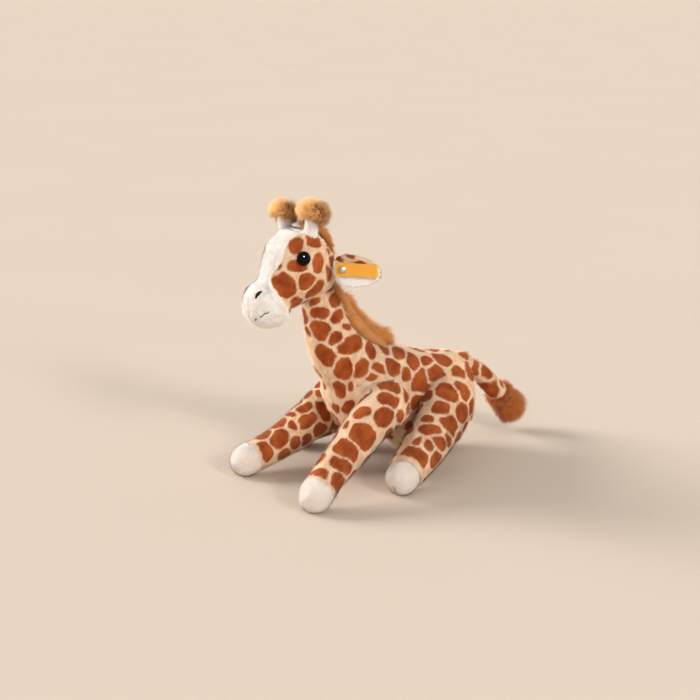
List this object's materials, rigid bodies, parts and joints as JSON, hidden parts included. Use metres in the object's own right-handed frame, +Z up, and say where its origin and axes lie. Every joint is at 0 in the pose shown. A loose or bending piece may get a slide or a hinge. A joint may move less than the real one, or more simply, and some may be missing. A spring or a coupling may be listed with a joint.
{
  "type": "plush giraffe",
  "caption": "Soft stuffed giraffe lying on its belly with raised neck, floppy legs, tufted tail, pile-capped horns, riveted ear ribbon; head, ears, legs and tail flex at their seams.",
  "frame": {"origin": "on the flat of the belly, at the surface the toy lies on, in its plane of symmetry", "axes": "+Z up from the surface it lies on, -Y toward the nose, +X toward its left side"},
  "size_m": [0.167, 0.2755, 0.2126],
  "materials": {
    "spotted_plush": "short-pile plush, cream with rounded brown patches",
    "white_plush": "short-pile white plush",
    "brown_pile": "long-pile light brown plush",
    "fibre_filling": "loose white fibre",
    "eye_black": "polished black",
    "washer_plastic": "moulded, matt",
    "woven_ribbon": "woven yellow ribbon, plain",
    "rivet_metal": "pressed metal, satin"
  },
  "bodies": {
    "torso": {"body_cover": "spotted_plush", "body_stuffing": "fibre_filling", "neck_cover": "spotted_plush", "neck_stuffing": "fibre_filling", "mane_neck": "brown_pile"},
    "head": {"head_cover": "spotted_plush", "head_stuffing": "fibre_filling", "face_blaze": "white_plush", "muzzle": "white_plush", "mane_crown": "brown_pile", "ossicone_stalk_left": "white_plush", "ossicone_stalk_right": "white_plush", "ossicone_tip_left": "brown_pile", "ossicone_tip_right": "brown_pile", "eye_left": "eye_black", "eye_right": "eye_black", "eye_washer_left": "washer_plastic", "eye_washer_right": "washer_plastic"},
    "ear_left": {"ear_left": "spotted_plush", "ear_lining_left": "white_plush", "ear_tag": "woven_ribbon", "tag_rivet": "rivet_metal", "tag_rivet_back": "rivet_metal"},
    "ear_right": {"ear_right": "spotted_plush", "ear_lining_right": "white_plush"},
    "front_leg_left": {"front_leg_left_cover": "spotted_plush", "front_leg_left_stuffing": "fibre_filling", "front_hoof_left": "white_plush"},
    "front_leg_right": {"front_leg_right_cover": "spotted_plush", "front_leg_right_stuffing": "fibre_filling", "front_hoof_right": "white_plush"},
    "rear_leg_left": {"rear_leg_left_cover": "spotted_plush", "rear_leg_left_stuffing": "fibre_filling", "rear_hoof_left": "white_plush"},
    "rear_leg_right": {"rear_leg_right_cover": "spotted_plush", "rear_leg_right_stuffing": "fibre_filling", "rear_hoof_right": "white_plush"},
    "tail": {"tail": "spotted_plush", "tail_tuft": "brown_pile"}
  },
  "joints": [
    {"name": "head_nod", "type": "hinge", "parent": "torso", "child": "head", "pos_m": [0, -0.09034, 0.13625], "axis": [1, 0, 0], "range_deg": [-6, 9], "stiffness_Nm_per_rad": 1.2},
    {"name": "ear_left_flap", "type": "hinge", "parent": "head", "child": "ear_left", "pos_m": [0.02202, -0.09784, 0.16395], "axis": [0, 0, 1], "range_deg": [-12, 12], "stiffness_Nm_per_rad": 0.02},
    {"name": "ear_right_flap", "type": "hinge", "parent": "head", "child": "ear_right", "pos_m": [-0.02202, -0.09784, 0.16395], "axis": [0, 0, 1], "range_deg": [-12, 12], "stiffness_Nm_per_rad": 0.02},
    {"name": "front_leg_left_swing", "type": "hinge", "parent": "torso", "child": "front_leg_left", "pos_m": [0.03741, -0.06, 0.059], "axis": [1, 0, 0], "range_deg": [-22, 20], "stiffness_Nm_per_rad": 1.5},
    {"name": "front_leg_right_swing", "type": "hinge", "parent": "torso", "child": "front_leg_right", "pos_m": [-0.03741, -0.05, 0.0445], "axis": [1, 0, 0], "range_deg": [-22, 20], "stiffness_Nm_per_rad": 1.5},
    {"name": "rear_leg_left_swing", "type": "hinge", "parent": "torso", "child": "rear_leg_left", "pos_m": [0.03803, 0.0025, 0.05], "axis": [1, 0, 0], "range_deg": [-5, 22], "stiffness_Nm_per_rad": 1.5},
    {"name": "rear_leg_right_swing", "type": "hinge", "parent": "torso", "child": "rear_leg_right", "pos_m": [-0.03803, 0.0025, 0.05], "axis": [1, 0, 0], "range_deg": [-5, 22], "stiffness_Nm_per_rad": 1.5},
    {"name": "tail_swing", "type": "hinge", "parent": "torso", "child": "tail", "pos_m": [0, 0.05783, 0.06767], "axis": [1, 0, 0], "range_deg": [-6, 22], "stiffness_Nm_per_rad": 0.12}
  ]
}
